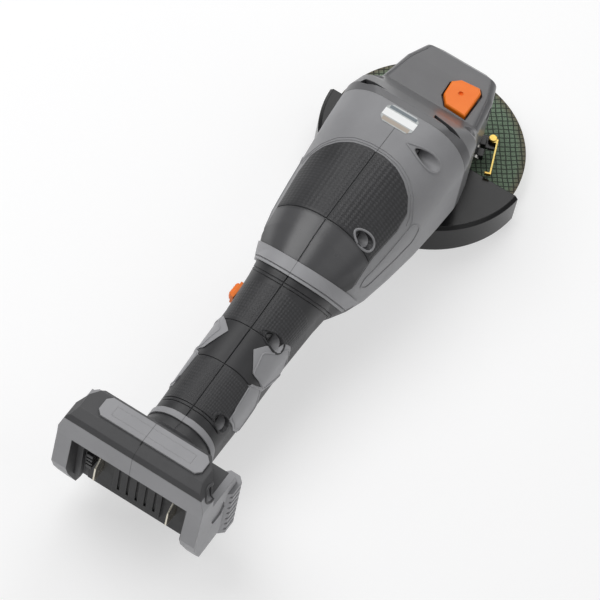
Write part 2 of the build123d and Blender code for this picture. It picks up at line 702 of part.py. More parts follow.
def strip_solid():
    x0, x1 = STRIP_X
    bar = block(x0, x1, *STRIP_Y, FOOT_TOP_Z - 2.0, FOOT_TOP_Z + 1.4)
    return chamfer(bar.edges().filter_by(Axis.Z), 3.0)


def screw_well():
    x, y, z = FOOT_SCREW
    return cyl_y(4.8, y - 30, y, x, z)


def make_foot_panel():
    panel = panel_solid() - strip_solid() - screw_well()
    panel -= block(FOOT_FRONT_X, -340, -0.4, 0.4, FOOT_TOP_Z - 0.6, 100)
    return panel


def make_foot_strip():
    x0, x1 = STRIP_X
    lens = block(x0 - 3.5, x1 + 3.5, -29.0, 23.0, FOOT_TOP_Z + 1.0, FOOT_TOP_Z + 2.0)
    return strip_solid() - lens


def make_strip_lens():
    x0, x1 = STRIP_X
    return block(x0 - 3.5, x1 + 3.5, -29.0, 23.0, FOOT_TOP_Z + 1.0, FOOT_TOP_Z + 1.4)


def make_foot_core(sign):
    core = foot_block() & block(FOOT_FRONT_X, FRAME_FRONT_X, -60, 60, 0, PANEL_Z)
    core -= bay_space()
    core -= prism_y([(-303, 12), (-303, 46), (-310, 66), (-320, 84), (-320, 12)], -34.0, 34.0)
    core -= body_slice(-SHELL_WALL, -299.0, NECK_END_X)
    core = core - cheek_zone(1) - cheek_zone(-1) - thumb_zone(1) - thumb_zone(-1) - screw_well()
    core -= block(BAY_FRONT_X - 1.0, BAY_FRONT_X + 3.0, -33.0, 33.0, 14.0, 68.0)
    return side(core, sign)


def make_foot_cheek(sign):
    cheek = foot_block() & cheek_zone(sign)
    cheek -= thumb_zone(sign)
    if sign < 0:
        hexagon = Pos(-321.0, -FOOT_HALF_W, 50.0) * Rot(90, 0, 0) * extrude(RegularPolygon(8.0, 6), amount=1.2, both=True)
        cheek -= hexagon
    return cheek


def make_thumb_pad(sign):
    """Ribbed grip at the front edge of the foot."""
    pad = block(-299.3, -314.1, sign * 38.3, sign * 50.4, 15.3, 60.1)
    pad = chamfer(pad.edges().filter_by(Axis.Z), 3.0)
    for i in range(7):
        z = 20.0 + 6.0 * i
        pad -= block(-290, -320, sign * 49.2, sign * 56, z - 1.0, z + 1.0)
        pad -= block(-298.0, -300.6, sign * 30, sign * 56, z - 1.0, z + 1.0)
    return pad


def make_battery_rails():
    rails = []
    for sign in (1, -1):
        rails.append(block(-331.0, -334.5, sign * 34.2, sign * BAY_HALF_W, 24.0, 66.0))
    return joined(rails)


def make_terminal_block():
    base = block(-320.0, -326.5, -33.0, 33.0, 14.0, 68.0)
    base += block(-326.5, -328.5, -16.0, 16.0, 20.0, 62.0)
    for i in range(5):
        y = -12.0 + 6.0 * i
        base -= block(-327.4, -330.0, y - 0.8, y + 0.8, 24.0, 58.0)
    for sign in (1, -1):
        base -= block(-322.5, -327, sign * (BLADE_HALF_GAP - 0.45), sign * (BLADE_HALF_GAP + 0.45), 31.0, 52.0)
    base -= block(-324.0, -327, 28.5, 32.5, 36.0, 50.0)
    return base


def make_blade_terminals():
    outline = [(-322.5, 52.0), (-331.0, 51.0), (-336.0, 45.0), (-336.5, 33.0), (-334.0, 31.0), (-322.5, 31.0)]
    blades = []
    for sign in (1, -1):
        y = sign * BLADE_HALF_GAP
        blades.append(prism_y(outline, y - 0.45, y + 0.45))
    return joined(blades)


def make_signal_connector():
    comb = block(-324.0, -333.0, 28.5, 32.5, 36.0, 50.0)
    for i in range(3):
        z = 39.5 + 3.5 * i
        comb -= block(-327.0, -334.0, 27, 34, z - 0.7, z + 0.7)
    return comb


def make_foot_screw():
    return cross_screw(*FOOT_SCREW, -10.0)


# ---- guard ----

COLLAR_IN_R = SPIGOT_R + 0.06
COLLAR_OUT_R = 23.2
CLAMP_R = 25.4
LUG_DEG = -70.0
LUG_END = 35.5
LEVER_PIVOT = (39.0, 8.0)     # in the clamp's own frame, lugs along +X
LEVER_Z = (10.9, 13.0)
BRACKET_Z = (GUARD_TOP_Z, 10.6)


def make_guard_shell():
    profile = [
        (COLLAR_OUT_R - 0.6, GUARD_TOP_Z - 1.5),
        (COLLAR_OUT_R - 0.6, GUARD_TOP_Z),
        (GUARD_R - 2.0, GUARD_TOP_Z),
        (GUARD_R, GUARD_TOP_Z - 2.0),
        (GUARD_R, GUARD_BOTTOM_Z),
        (GUARD_R - 4.0, GUARD_BOTTOM_Z),
        (GUARD_R - 4.0, GUARD_BOTTOM_Z + 1.2),
        (GUARD_R - GUARD_WALL, GUARD_BOTTOM_Z + 1.2),
        (GUARD_R - GUARD_WALL, GUARD_TOP_Z - 2.4),
        (GUARD_R - 2.6, GUARD_TOP_Z - 1.5),
    ]
    shell = revolve(make_face(Polyline(*[(r, 0, z) for r, z in profile], close=True)), Axis.Z)
    shell -= block(GUARD_EDGE_X, 100, -100, 100, -30, 30) - cyl_z(27.0, 0, 30)
    collar = ring_z(COLLAR_OUT_R, COLLAR_IN_R, 5.4, 13.2)
    hub = ring_z(27.0, COLLAR_IN_R, GUARD_TOP_Z - 1.5, GUARD_TOP_Z)
    return shell + collar + hub


def make_guard_clamp():
    band = ring_z(CLAMP_R, COLLAR_OUT_R, GUARD_TOP_Z, 13.2) - block(20, 45, -1.5, 1.5, 0, 30)
    for y0, y1 in ((-7.5, -1.5), (1.5, 7.5)):
        band += block(24.4, LUG_END, y0, y1, GUARD_TOP_Z, 13.2)
    band += block(27.5, 42.0, 1.5, 11.0, *BRACKET_Z)
    band -= cyl_y(1.6, -10, 10, 31.0, 11.2)
    band -= cyl_z(1.5, 5, 15, *LEVER_PIVOT)
    return Rot(0, 0, LUG_DEG) * band


def make_clamp_bolt():
    bolt = cyl_y(1.55, -9.0, 9.0, 31.0, 11.2) + cyl_y(2.1, -9.6, -7.5, 31.0, 11.2) + cyl_y(2.1, 7.5, 9.4, 31.0, 11.2)
    bolt -= block(20, 45, 0, 20, 0, BRACKET_Z[1])
    return Rot(0, 0, LUG_DEG) * bolt


def make_clamp_lever():
    """Bent sheet lever lying across the lug ends, swinging about an upright pin."""
    px, py = LEVER_PIVOT
    lever = cyl_z(2.6, *LEVER_Z, px, py)
    lever += block(px, px + 3.6, py - 3.0, py, *LEVER_Z)
    lever += block(px + 2.4, px + 3.6, py - 26.0, py - 2.0, *LEVER_Z)
    lever += block(px - 0.5, px + 3.6, py - 27.2, py - 26.0, *LEVER_Z)
    lever -= cyl_z(1.56, 9, 15, px, py)
    return Rot(0, 0, LUG_DEG) * lever


def make_lever_pin():
    px, py = LEVER_PIVOT
    pin = cyl_z(1.5, BRACKET_Z[0], 13.3, px, py) + cyl_z(2.4, 13.3, 13.6, px, py)
    return Rot(0, 0, LUG_DEG) * pin


# ---- all nodes ----


def build_nodes():
    nodes = {
        "gear_housing": make_gear_housing(),
        "bearing_box": make_bearing_box(),
        "bearing_box_screws": make_bearing_box_screws(),
        "gear_housing_screws": make_head_screws(),
        "bearing_retainer": make_bearing_retainer(),
        "name_label": make_name_label(),
        "spindle_bearings": make_spindle_bearings(),
        "spindle": make_spindle(),
        "bevel_gear": make_bevel_gear(),
        "inner_flange": make_inner_flange(),
        "cutting_disc": make_cutting_disc(),
        "flange_nut": make_flange_nut(),
        "rotor_shaft": make_rotor_shaft(),
        "pinion": make_pinion(),
        "cooling_fan": make_cooling_fan(),
        "rotor_core": make_rotor_core(),
        "rotor_magnets": make_rotor_magnets(),
        "stator_core": make_stator_core(),
        "stator_windings": make_stator_windings(),
        "motor_bearings": make_motor_bearings(),
        "sensor_board": make_sensor_board(),
        "fan_baffle": make_fan_baffle(),
        "motor_pad": make_motor_pad(),
        "collar_ring": make_collar_ring(),
        "rear_ring": make_rear_ring(),
        "shell_screws": make_shell_screws(),
        "lock_button": make_lock_button(),
        "lock_pin": make_lock_pin(),
        "lock_spring": make_lock_spring(),
        "slider_button": make_slider_button(),
        "switch_body": make_switch_body(),
        "controller": make_controller(),
        "foot_frame": make_foot_frame(),
        "foot_panel": make_foot_panel(),
        "foot_strip": make_foot_strip(),
        "strip_lens": make_strip_lens(),
        "battery_rails": make_battery_rails(),
        "terminal_block": make_terminal_block(),
        "blade_terminals": make_blade_terminals(),
        "signal_connector": make_signal_connector(),
        "foot_screw": make_foot_screw(),
        "guard_shell": make_guard_shell(),
        "guard_clamp": make_guard_clamp(),
        "clamp_bolt": make_clamp_bolt(),
        "clamp_lever": make_clamp_lever(),
        "lever_pin": make_lever_pin(),
    }
    for name, sign in (("left", 1), ("right", -1)):
        nodes["shell_" + name] = make_shell_half(sign)
        nodes["grip_" + name] = make_grip_half(sign)
        plate, strip = make_side_inserts(sign)
        nodes["grip_plate_" + name] = plate
        nodes["grip_strip_" + name] = strip
        nodes["foot_core_" + name] = make_foot_core(sign)
        nodes["foot_cheek_" + name] = make_foot_cheek(sign)
        nodes["thumb_pad_" + name] = make_thumb_pad(sign)
    return nodes


def main():
    os.makedirs("parts", exist_ok=True)
    nodes = build_nodes()
    boxes = [shape.bounding_box() for shape in nodes.values()]
    shift_x = -(min(b.min.X for b in boxes) + max(b.max.X for b in boxes)) / 2
    shift_y = -(min(b.min.Y for b in boxes) + max(b.max.Y for b in boxes)) / 2
    shift_z = -min(b.min.Z for b in boxes)
    print("spindle frame to part frame", round(shift_x, 4), round(shift_y, 4), round(shift_z, 4))
    for name, shape in nodes.items():
        export_step(Pos(shift_x, shift_y, shift_z) * shape, f"parts/{name}.step")


main()
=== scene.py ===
import json
import math

import bpy
import bmesh
from mathutils import Matrix, Vector
from mathutils.bvhtree import BVHTree


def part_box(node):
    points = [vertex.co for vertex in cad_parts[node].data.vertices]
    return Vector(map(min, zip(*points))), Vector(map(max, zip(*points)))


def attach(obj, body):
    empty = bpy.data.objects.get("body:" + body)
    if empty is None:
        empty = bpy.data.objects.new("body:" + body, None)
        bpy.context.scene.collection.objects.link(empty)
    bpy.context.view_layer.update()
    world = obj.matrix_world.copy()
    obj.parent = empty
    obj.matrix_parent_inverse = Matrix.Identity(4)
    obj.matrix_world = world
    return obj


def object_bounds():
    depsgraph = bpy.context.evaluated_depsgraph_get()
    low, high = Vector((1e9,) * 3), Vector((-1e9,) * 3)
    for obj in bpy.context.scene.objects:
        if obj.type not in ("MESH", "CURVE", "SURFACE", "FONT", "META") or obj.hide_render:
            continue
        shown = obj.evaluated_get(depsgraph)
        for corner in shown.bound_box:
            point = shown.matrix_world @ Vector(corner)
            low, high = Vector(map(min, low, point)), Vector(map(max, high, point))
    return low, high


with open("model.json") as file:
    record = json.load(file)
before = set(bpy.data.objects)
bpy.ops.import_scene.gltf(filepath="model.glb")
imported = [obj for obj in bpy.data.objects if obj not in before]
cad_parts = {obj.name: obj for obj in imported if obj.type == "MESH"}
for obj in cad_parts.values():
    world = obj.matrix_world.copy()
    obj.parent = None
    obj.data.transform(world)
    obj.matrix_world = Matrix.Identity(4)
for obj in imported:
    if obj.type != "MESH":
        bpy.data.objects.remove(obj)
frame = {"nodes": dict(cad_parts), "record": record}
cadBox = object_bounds()
nodes = frame["nodes"]
scene = bpy.context.scene
mm = 0.001
perMetre = 1000.0        # millimetres in a metre
print("frame loaded with", len(nodes), "nodes")

# where the spindle stands in this frame, taken from the disc
spindle = Vector([(low + high) / 2 for low, high in zip(*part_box("cutting_disc"))])


def at(x, y, z):
    # millimetres from the spindle and the disc's middle plane
    return spindle + Vector((x, y, z)) * mm


def startMaterial(name):
    material = bpy.data.materials.new(name)
    material.use_nodes = True
    tree = material.node_tree
    shader = tree.nodes["Principled BSDF"]
    return material, tree, shader


def addNode(tree, kind, settings=None, **inputs):
    # inputs go by name, or by number as i0, i1, i2
    node = tree.nodes.new(kind)
    for key, value in (settings or {}).items():
        setattr(node, key, value)
    for key, value in inputs.items():
        numbered = key[0] == "i" and key[1:].isdigit()
        slot = node.inputs[int(key[1:])] if numbered else node.inputs[key]
        if isinstance(value, bpy.types.NodeSocket):
            tree.links.new(value, slot)
        else:
            slot.default_value = value
    return node


def calc(tree, operation, a, b=0.0, c=0.0):
    node = addNode(tree, "ShaderNodeMath", {"operation": operation}, i0=a, i1=b, i2=c)
    return node.outputs[0]


def grain(tree, coords, scale, detail, rough):
    inputs = {"Vector": coords, "Scale": scale, "Detail": detail, "Roughness": rough}
    return addNode(tree, "ShaderNodeTexNoise", None, **inputs).outputs["Fac"]


def ramp(tree, value, low, high, outLow, outHigh):
    settings = {"clamp": True}
    node = addNode(tree, "ShaderNodeMapRange", settings, i0=value, i1=low, i2=high, i3=outLow, i4=outHigh)
    return node.outputs[0]


def mixColour(tree, amount, first, second):
    node = addNode(tree, "ShaderNodeMix", {"data_type": "RGBA"})
    for index, value in ((0, amount), (6, first), (7, second)):
        if isinstance(value, bpy.types.NodeSocket):
            tree.links.new(value, node.inputs[index])
        else:
            node.inputs[index].default_value = value
    return node.outputs[2]


def rgb(colour, gain=1.0):
    return (colour[0] * gain, colour[1] * gain, colour[2] * gain, 1.0)


def mottled(tree, amount, colour, darker, paler):
    return mixColour(tree, amount, rgb(colour, darker), rgb(colour, paler))


def place(tree):
    # the node's own coordinates, in metres of this frame, so the finish moves with its piece
    return addNode(tree, "ShaderNodeTexCoord").outputs["Object"]


def axes(tree, coords):
    # x, y and z in millimetres from the spindle
    split = addNode(tree, "ShaderNodeSeparateXYZ", None, Vector=coords)
    starts = [-spindle[i] * perMetre for i in range(3)]
    return [calc(tree, "MULTIPLY_ADD", split.outputs[i], perMetre, starts[i]) for i in range(3)]


patchRange = (0.3, 0.7, 0.0, 1.0)                          # where slow shading starts and is full
seamFade = (0.6, 1.3)                                      # in half widths of the seam
edgeTurn = {"flat": 0.995, "sharp": 0.80, "samples": 6}    # cosines of how far an edge turns


def edgeMask(tree, radius):
    # 1 on sharp edges, 0 on flats: how far the rounded normal turns from the true one
    soft = addNode(tree, "ShaderNodeBevel", {"samples": edgeTurn["samples"]}, Radius=radius).outputs[0]
    flat = addNode(tree, "ShaderNodeNewGeometry").outputs["Normal"]
    dot = addNode(tree, "ShaderNodeVectorMath", {"operation": "DOT_PRODUCT"}, i0=soft, i1=flat)
    return ramp(tree, dot.outputs["Value"], edgeTurn["flat"], edgeTurn["sharp"], 0.0, 1.0), soft


def addBump(tree, shader, height, strength, distance, normal):
    inputs = {"Strength": strength, "Distance": distance, "Height": height, "Normal": normal}
    bump = addNode(tree, "ShaderNodeBump", None, **inputs)
    tree.links.new(bump.outputs[0], shader.inputs["Normal"])


def seamLine(tree, y, halfWidth):
    # the parting line down the middle of the tool
    distance = calc(tree, "ABSOLUTE", y)
    return ramp(tree, distance, halfWidth * seamFade[0], halfWidth * seamFade[1], 1.0, 0.0)


def band(tree, value, low, high, soft):
    # 1 between low and high, fading over soft on each side
    rise = ramp(tree, value, low - soft, low + soft, 0.0, 1.0)
    fall = ramp(tree, value, high - soft, high + soft, 1.0, 0.0)
    return calc(tree, "MULTIPLY", rise, fall)


mouldedPlastics = {
    # edge: the paler colour painted on edges, partly wear and partly a painted highlight
    # lining: where the moulding is lined in black, from x to x, half width, below z, all in mm
    "light_grey_plastic": {"colour": (0.325, 0.325, 0.338), "rough": 0.46, "edge": 0.42, "depth": 0.16,
                           "lining": (-360.0, -322.0, 38.2, 72.3)},
    "mid_grey_plastic": {"colour": (0.265, 0.265, 0.275), "rough": 0.42, "edge": 0.36, "depth": 0.15,
                         "lining": (-310.0, -285.9, 60.0, 90.0)},
    "dark_grey_plastic": {"colour": (0.060, 0.060, 0.063), "rough": 0.44, "edge": 0.13, "depth": 0.16},
    "black_plastic": {"colour": (0.014, 0.014, 0.015), "rough": 0.50, "edge": 0.035, "depth": 0.14},
}
plasticTexture = {
    # noises are given as scale, detail and roughness
    "cloud": (22.0, 4.0, 0.6),
    "spark": (2600.0, 2.0, 0.5),
    "scuff": (160.0, 6.0, 0.7),
    "scuffRange": (0.50, 0.74),
    "shades": (0.92, 1.07),
    "edgeWearAndHighlight": (0.45, 0.35),          # with and without scuffs
    "seam": 0.22,                  # half width, mm
    "seamAmount": 0.7,
    "seamShade": 0.25,
    "liningColour": (0.030, 0.030, 0.032),
    "liningFade": 0.1,             # mm
    "shineChange": 0.10,
    "bevel": 0.7,                  # mm
    "bump": 0.12,                  # mm
}


def liningZone(tree, x, y, z, lining, fade):
    back, front, halfWidth, top = lining
    below = ramp(tree, z, top, top + fade, 1.0, 0.0)
    zone = calc(tree, "MULTIPLY", band(tree, x, back, front, fade), below)
    inside = ramp(tree, calc(tree, "ABSOLUTE", y), halfWidth, halfWidth + fade, 1.0, 0.0)
    return calc(tree, "MULTIPLY", zone, inside)


def plasticFinish(name, look, texture):
    material, tree, shader = startMaterial(name)
    coords = place(tree)
    x, y, z = axes(tree, coords)
    edges, soft = edgeMask(tree, texture["bevel"] * mm)
    cloud = ramp(tree, grain(tree, coords, *texture["cloud"]), *patchRange)
    spark = grain(tree, coords, *texture["spark"])
    scuff = ramp(tree, grain(tree, coords, *texture["scuff"]), *texture["scuffRange"], 0.0, 1.0)
    colour = mottled(tree, cloud, look["colour"], *texture["shades"])
    # edges painted the paler edge colour: a painted highlight on every edge, stronger where scuff noise adds
    # real wear
    wornAndHighlit = calc(tree, "MULTIPLY", edges, calc(tree, "MULTIPLY_ADD", scuff, *texture["edgeWearAndHighlight"]))
    colour = mixColour(tree, wornAndHighlit, colour, rgb((look["edge"],) * 3))
    seam = calc(tree, "MULTIPLY", seamLine(tree, y, texture["seam"]), texture["seamAmount"])
    colour = mixColour(tree, seam, colour, rgb(look["colour"], texture["seamShade"]))
    if "lining" in look:
        zone = liningZone(tree, x, y, z, look["lining"], texture["liningFade"])
        colour = mixColour(tree, zone, colour, rgb(texture["liningColour"]))
    tree.links.new(colour, shader.inputs["Base Color"])
    shine = calc(tree, "MULTIPLY_ADD", scuff, texture["shineChange"], look["rough"])
    shine = calc(tree, "MULTIPLY_ADD", spark, texture["shineChange"], shine)
    tree.links.new(shine, shader.inputs["Roughness"])
    addBump(tree, shader, spark, look["depth"], texture["bump"] * mm, soft)
    return material


rubberLook = {
    "colour": (0.026, 0.026, 0.028),
    "shades": (0.84, 1.25),
    # edge: paler colour for the diamond tips and for the painted highlight on edges
    "edge": (0.085, 0.085, 0.090),
    "edgeHighlightAmount": 0.55,
    "rough": 0.37,
    "cloudRough": 0.16,
    "smoothRough": -0.16,
    "diamondRough": 0.10,
    "pitch": 2.1,                        # of the small raised diamonds, mm
    "diamondRange": (-0.3, 1.0),
    "diamondAmount": 0.30,
    "core": 30.0,                        # height of the line that the diamonds go round, mm
    "girth": 38.0,                       # how far out from that line they are spaced, mm
    "diamondZones": [(-136.5, -86.0), (-213.0, -186.5), (-272.5, -244.0)],
    "zoneFade": 0.8,                     # mm
    "thinning": (2.0, 22.0, 1.0, 0.35),  # the diamonds thin out towards the tool's left
    "smoothZone": (-167.0, -138.8, 1.5),
    "smoothAbove": (60.0, 66.0),         # mm
    # the paler colour of the smooth stretch is a painted sheen
    "smoothSheenColour": (0.088, 0.088, 0.092),
    "smoothSheenAmount": 0.8,
    "cloud": (34.0, 5.0, 0.6),
    "cloudRange": (0.3, 0.72),
    "dust": (1500.0, 2.0, 0.6),
    "dustAmount": 0.12,
    "bevel": 0.6,                        # mm
    "bumpStrength": 0.55,
    "bump": 0.35,                        # mm
}


def diamonds(tree, x, y, z, look):
    # small raised squares set on their corners, along the tool and round it
    height = calc(tree, "SUBTRACT", z, look["core"])
    around = calc(tree, "MULTIPLY", calc(tree, "ARCTAN2", y, height), look["girth"])
    turn = 2 * math.pi / look["pitch"]
    alongWave = calc(tree, "COSINE", calc(tree, "MULTIPLY", x, turn))
    roundWave = calc(tree, "COSINE", calc(tree, "MULTIPLY", around, turn))
    raised = ramp(tree, calc(tree, "ADD", alongWave, roundWave), *look["diamondRange"], 0.0, 1.0)
    zones = 0.0
    for back, front in look["diamondZones"]:
        zones = calc(tree, "ADD", zones, band(tree, x, back, front, look["zoneFade"]))
    side = ramp(tree, y, *look["thinning"])
    return calc(tree, "MULTIPLY", calc(tree, "MULTIPLY", raised, zones), side)


def rubberFinish(name, look):
    material, tree, shader = startMaterial(name)
    coords = place(tree)
    x, y, z = axes(tree, coords)
    edges, soft = edgeMask(tree, look["bevel"] * mm)
    pattern = diamonds(tree, x, y, z, look)
    cloud = grain(tree, coords, *look["cloud"])
    dust = grain(tree, coords, *look["dust"])
    patches = ramp(tree, cloud, *look["cloudRange"], 0.0, 1.0)
    colour = mottled(tree, patches, look["colour"], *look["shades"])
    tips = calc(tree, "MULTIPLY", pattern, look["diamondAmount"])
    colour = mixColour(tree, tips, colour, rgb(look["edge"]))
    # edges painted paler: a painted highlight
    edgeHighlight = calc(tree, "MULTIPLY", edges, look["edgeHighlightAmount"])
    colour = mixColour(tree, edgeHighlight, colour, rgb(look["edge"]))
    # the top of the smooth stretch painted paler: a painted sheen on the glossier smooth rubber
    above = ramp(tree, z, *look["smoothAbove"], 0.0, 1.0)
    smooth = calc(tree, "MULTIPLY", band(tree, x, *look["smoothZone"]), above)
    paler = calc(tree, "MULTIPLY", smooth, look["smoothSheenAmount"])
    colour = mixColour(tree, paler, colour, rgb(look["smoothSheenColour"]))
    tree.links.new(colour, shader.inputs["Base Color"])
    # glossier on the smooth stretch, duller on the diamonds
    shine = calc(tree, "MULTIPLY_ADD", cloud, look["cloudRough"], look["rough"])
    shine = calc(tree, "MULTIPLY_ADD", smooth, look["smoothRough"], shine)
    shine = calc(tree, "MULTIPLY_ADD", pattern, look["diamondRough"], shine)
    tree.links.new(shine, shader.inputs["Roughness"])
    height = calc(tree, "MULTIPLY_ADD", dust, look["dustAmount"], pattern)
    addBump(tree, shader, height, look["bumpStrength"], look["bump"] * mm, soft)
    return material


metalLooks = {
    "bare_aluminium": {"colour": (0.62, 0.62, 0.63), "tint": (0.48, 0.47, 0.46),
                       "rough": 0.38, "brush": 900.0, "depth": 0.10},
    "zinc_steel": {"colour": (0.66, 0.66, 0.64), "tint": (0.50, 0.48, 0.44),
                   "rough": 0.30, "brush": 1400.0, "depth": 0.06},
    "bright_steel": {"colour": (0.60, 0.60, 0.61), "tint": (0.42, 0.41, 0.40),
                     "rough": 0.26, "brush": 1200.0, "depth": 0.08},
    "lamination": {"colour": (0.22, 0.22, 0.23), "tint": (0.12, 0.11, 0.10),
                   "rough": 0.50, "brush": 2500.0, "depth": 0.25},
    "magnet": {"colour": (0.42, 0.42, 0.44), "tint": (0.30, 0.30, 0.31),
               "rough": 0.28, "brush": 700.0, "depth": 0.05},
    "copper_wire": {"colour": (0.68, 0.30, 0.13), "tint": (0.42, 0.16, 0.07),
                    "rough": 0.32, "brush": 2600.0, "depth": 0.50},
    "nickel": {"colour": (0.80, 0.77, 0.68), "tint": (0.66, 0.60, 0.48),
               "rough": 0.18, "brush": 600.0, "depth": 0.04},
    "yellow_zinc": {"colour": (0.72, 0.46, 0.10), "tint": (0.50, 0.42, 0.16),
                    "rough": 0.30, "brush": 420.0, "depth": 0.06},
}
metalTexture = {
    "stretch": (1.0, 0.12, 1.0),    # draws the brush lines out across the tool
    "lines": (3.0, 0.6),            # detail and roughness
    "patches": (90.0, 4.0, 0.6),
    "patchRange": (0.35, 0.70),
    "edgeHighlightAmount": 0.6,
    "edgeHighlightGain": 1.25,
    "shineChange": 0.22,
    "shineDrop": 0.06,
    "bevel": 0.4,                   # mm
    "bump": 0.10,                   # mm
}


def metalFinish(name, look, texture):
    material, tree, shader = startMaterial(name)
    coords = place(tree)
    edges, soft = edgeMask(tree, texture["bevel"] * mm)
    stretch = addNode(tree, "ShaderNodeMapping", None, Vector=coords)
    stretch.inputs["Scale"].default_value = texture["stretch"]
    lines = grain(tree, stretch.outputs[0], look["brush"], *texture["lines"])
    patches = ramp(tree, grain(tree, coords, *texture["patches"]), *texture["patchRange"], 0.0, 1.0)
    colour = mixColour(tree, patches, rgb(look["colour"]), rgb(look["tint"]))
    # edges painted paler: a painted highlight on the metal's edges
    edgeHighlight = calc(tree, "MULTIPLY", edges, texture["edgeHighlightAmount"])
    colour = mixColour(tree, edgeHighlight, colour, rgb(look["colour"], texture["edgeHighlightGain"]))
    tree.links.new(colour, shader.inputs["Base Color"])
    shader.inputs["Metallic"].default_value = 1.0
    start = look["rough"] - texture["shineDrop"]
    shine = calc(tree, "MULTIPLY_ADD", lines, texture["shineChange"], start)
    tree.links.new(shine, shader.inputs["Roughness"])
    addBump(tree, shader, lines, look["depth"], texture["bump"] * mm, soft)
    return material


paintLooks = {
    # under: the paler edge colour, for chipped paint and for a painted highlight
    "dark_paint": {"colour": (0.132, 0.132, 0.137), "chipAndHighlightColour": (0.34, 0.34, 0.35),
                   "rough": 0.34, "peel": 900.0, "depth": 0.13, "coat": 0.12},
    "black_gloss": {"colour": (0.006, 0.006, 0.0065), "chipAndHighlightColour": (0.075, 0.075, 0.078),
                    "rough": 0.24, "peel": 420.0, "depth": 0.05, "coat": 0.04},
    "black_steel": {"colour": (0.020, 0.020, 0.021), "chipAndHighlightColour": (0.22, 0.22, 0.22),
                    "rough": 0.36, "peel": 1500.0, "depth": 0.10, "coat": 0.0},
}
paintTexture = {
    "peel": (3.0, 0.5),             # detail and roughness
    "cloud": (26.0, 4.0, 0.6),
    "shades": (0.9, 1.1),
    "chipsAndHighlight": (420.0, 5.0, 0.65),
    "chipAndHighlightRange": (0.46, 0.66, 0.15, 1.0),
    "chipAndHighlightAmount": 0.75,
    "shineChange": 0.14,
    "shineDrop": 0.06,
    "coatRough": 0.12,
    "specular": 0.36,
    "bevel": 0.8,                   # mm
    "bump": 0.20,                   # mm
}


def paintFinish(name, look, texture):
    material, tree, shader = startMaterial(name)
    coords = place(tree)
    edges, soft = edgeMask(tree, texture["bevel"] * mm)
    peel = grain(tree, coords, look["peel"], *texture["peel"])
    cloud = grain(tree, coords, *texture["cloud"])
    # edges painted paler: chipped paint where the chip noise is high, and through the lowest 0.15 of the
    # range a painted highlight on every edge
    chipsAndHighlight = ramp(tree, grain(tree, coords, *texture["chipsAndHighlight"]), *texture["chipAndHighlightRange"])
    patches = ramp(tree, cloud, *patchRange)
    colour = mottled(tree, patches, look["colour"], *texture["shades"])
    chippedAndHighlitEdges = calc(tree, "MULTIPLY", edges, calc(tree, "MULTIPLY", chipsAndHighlight, texture["chipAndHighlightAmount"]))
    colour = mixColour(tree, chippedAndHighlitEdges, colour, rgb(look["chipAndHighlightColour"]))
    tree.links.new(colour, shader.inputs["Base Color"])
    start = look["rough"] - texture["shineDrop"]
    shine = calc(tree, "MULTIPLY_ADD", cloud, texture["shineChange"], start)
    tree.links.new(shine, shader.inputs["Roughness"])
    shader.inputs["Coat Weight"].default_value = look["coat"]
    shader.inputs["Coat Roughness"].default_value = texture["coatRough"]
    shader.inputs["Specular IOR Level"].default_value = texture["specular"]
    addBump(tree, shader, peel, look["depth"], texture["bump"] * mm, soft)
    return material


discLook = {
    "resin": (0.185, 0.265, 0.180),
    "shades": (0.62, 1.30),
    "weave": (0.012, 0.014, 0.012),
    "weaveAmount": 0.86,
    "weaveHeight": 0.8,
    "rim": (0.150, 0.105, 0.070),
    "rimRange": (57.0, 62.5, 0.0, 0.85),    # radii in mm, then amounts
    "pitch": 3.3,                           # of the glass mesh, mm
    "turn": 35.0,                           # how far the mesh is turned in the disc, degrees
    "cord": 0.52,                           # how wide one mesh cord is, mm
    "cordFade": 0.22,                       # mm
    "wander": (70.0, 3.0, 0.5),
    "drift": (2.4, -1.2),                   # mm, how far the cords stray
    "grit": (1700.0, 4.0, 0.7),
    "gritRange": (0.38, 0.66),
    "rough": 0.72,
    "shineChange": 0.15,
    "bevel": 0.3,                           # mm
    "bumpStrength": 0.5,
    "bump": 0.25,                           # mm
}


def glassMesh(tree, coords, x, y, look):
    drift = calc(tree, "MULTIPLY_ADD", grain(tree, coords, *look["wander"]), *look["drift"])
    turn = math.radians(look["turn"])
    c, s = math.cos(turn), math.sin(turn)
    along = calc(tree, "ADD", calc(tree, "MULTIPLY", x, c), calc(tree, "MULTIPLY", y, s))
    across = calc(tree, "SUBTRACT", calc(tree, "MULTIPLY", y, c), calc(tree, "MULTIPLY", x, s))
    halfCord = look["cord"] / 2
    cords = []
    for value in (calc(tree, "ADD", along, drift), calc(tree, "SUBTRACT", across, drift)):
        cell = calc(tree, "PINGPONG", value, look["pitch"] / 2)
        cords.append(ramp(tree, cell, halfCord, halfCord + look["cordFade"], 1.0, 0.0))
    return calc(tree, "MAXIMUM", cords[0], cords[1])


